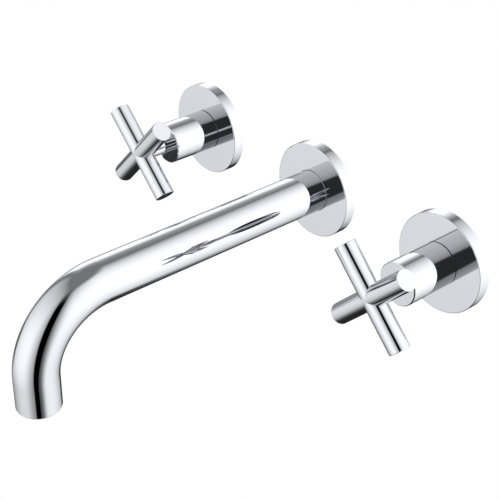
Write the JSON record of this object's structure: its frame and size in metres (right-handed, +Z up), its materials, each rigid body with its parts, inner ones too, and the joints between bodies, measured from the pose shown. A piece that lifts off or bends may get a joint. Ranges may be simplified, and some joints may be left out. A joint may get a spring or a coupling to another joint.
{
  "type": "concealed basin mixer",
  "caption": "Wall-mounted basin mixer with a long bent tube spout, two cross handles on round flanges, and a concealed brass body with quarter-turn cartridges on a slotted bar.",
  "frame": {"origin": "point of the spout axis in the plane of the finished wall", "axes": "+X to the right seen from the room, +Y into the wall, +Z up"},
  "size_m": [0.28, 0.2775, 0.09],
  "materials": {
    "chrome": "mirror-polished chrome plate",
    "brass": "machined hot-pressed brass",
    "copper": "drawn copper tube",
    "zinc_steel": "zinc-plated steel",
    "rubber": "black rubber",
    "foam": "closed-cell foam",
    "fibre": "red fibre",
    "ceramic": "polished alumina",
    "aerator_plastic": "moulded plastic"
  },
  "bodies": {
    "root": {"aerator_insert": "aerator_plastic", "aerator_ring": "chrome", "bar_screws": "zinc_steel", "fixed_discs": "ceramic", "left_cartridge_body": "brass", "left_flange": "chrome", "left_link_tube": "copper", "left_sleeve": "brass", "left_valve_body": "brass", "mounting_bar": "zinc_steel", "right_cartridge_body": "brass", "right_flange": "chrome", "right_link_tube": "copper", "right_sleeve": "brass", "right_valve_body": "brass", "sealing_washers": "fibre", "seat_seals": "rubber", "spout_bush": "brass", "spout_flange": "chrome", "spout_nipple": "brass", "spout_o_ring": "rubber", "spout_set_screw": "zinc_steel", "spout_tee": "brass", "spout_tube": "chrome", "wall_gaskets": "foam"},
    "left_handle": {"left_spindle": "brass", "left_spindle_o_ring": "rubber", "left_moving_disc": "ceramic", "left_handle_base": "chrome", "left_set_screw": "zinc_steel", "left_cross_head": "chrome"},
    "right_handle": {"right_spindle": "brass", "right_spindle_o_ring": "rubber", "right_moving_disc": "ceramic", "right_handle_base": "chrome", "right_set_screw": "zinc_steel", "right_cross_head": "chrome"}
  },
  "joints": [
    {"name": "left_handle_turn", "type": "hinge", "parent": "root", "child": "left_handle", "pos_m": [-0.1, 0, 0], "axis": [0, -1, 0], "range_deg": [0, 90]},
    {"name": "right_handle_turn", "type": "hinge", "parent": "root", "child": "right_handle", "pos_m": [0.1, 0, 0], "axis": [0, 1, 0], "range_deg": [0, 90]}
  ]
}
